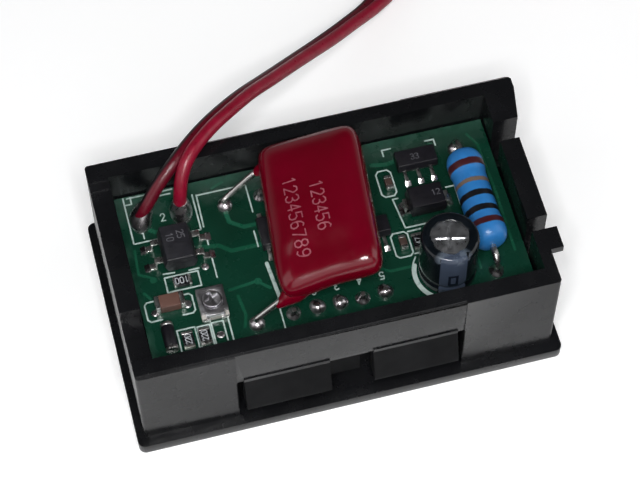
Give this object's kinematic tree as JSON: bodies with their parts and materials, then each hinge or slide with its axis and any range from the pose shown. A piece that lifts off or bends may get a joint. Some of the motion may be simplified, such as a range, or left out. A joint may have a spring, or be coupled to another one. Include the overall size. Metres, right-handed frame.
{
  "type": "digital panel meter",
  "caption": "Two-wire AC panel voltmeter module seen open from the back, with its circuit board, display and two leads.",
  "frame": {"origin": "middle of the front face, on the tinted filter, which rests on the ground", "axes": "+X along the bezel's long side, away from the wire end; +Y across the bezel; +Z from the front face to the open back"},
  "size_m": [0.0736, 0.0736, 0.02],
  "materials": {
    "aluminium": "satin",
    "black_insulation": "gloss",
    "blue_enamel": "gloss",
    "board_laminate": "gloss",
    "brown_ceramic": "satin",
    "case_plastic": "gloss",
    "ceramic": "matte",
    "display_resin": "satin",
    "mould_compound": "satin",
    "nickel": "satin",
    "red_epoxy": "gloss",
    "red_insulation": "gloss",
    "resistor_glass": "gloss",
    "rubber": "matte",
    "segment_resin": "satin",
    "sleeve_film": "gloss",
    "solder": "gloss",
    "tin": "satin",
    "tinted_filter": "gloss"
  },
  "bodies": {
    "meter": {"housing": "case_plastic", "display_filter": "tinted_filter", "display_block": "display_resin", "display_segments": "segment_resin", "display_pins": "tin", "circuit_board": "board_laminate", "pin_solder": "solder", "lead_solder": "solder", "wire_solder": "solder", "chip_solder": "solder", "film_capacitor": "red_epoxy", "film_capacitor_leads": "tin", "electrolytic_can": "aluminium", "electrolytic_sleeve": "sleeve_film", "electrolytic_seal": "rubber", "electrolytic_leads": "tin", "power_resistor": "blue_enamel", "power_resistor_leads": "tin", "bridge_rectifier": "mould_compound", "bridge_rectifier_leads": "tin", "regulator": "mould_compound", "regulator_leads": "tin", "suppressor_diode": "mould_compound", "suppressor_diode_leads": "tin", "controller_chip": "mould_compound", "controller_leads_set": "tin", "trimmer_base": "ceramic", "trimmer_terminals": "tin", "trimmer_frame": "nickel", "trimmer_pin": "nickel", "ceramic_capacitor": "brown_ceramic", "ceramic_capacitor_ends": "tin", "small_capacitors": "brown_ceramic", "small_capacitor_ends": "tin", "chip_resistors": "resistor_glass", "chip_resistor_ends": "tin", "signal_diode": "mould_compound", "signal_diode_ends": "tin", "red_wire": "red_insulation", "red_wire_coil": "red_insulation", "red_wire_tip": "tin", "black_wire": "black_insulation", "black_wire_coil": "black_insulation", "black_wire_tip": "tin"},
    "rotor": {"trimmer_rotor": "nickel"}
  },
  "joints": [
    {"name": "trimmer_turn", "type": "hinge", "parent": "meter", "child": "rotor", "pos_m": [-0.0131, -0.0043, 0.0116], "axis": [0, 0, 1], "range_deg": [-130, 130]}
  ]
}
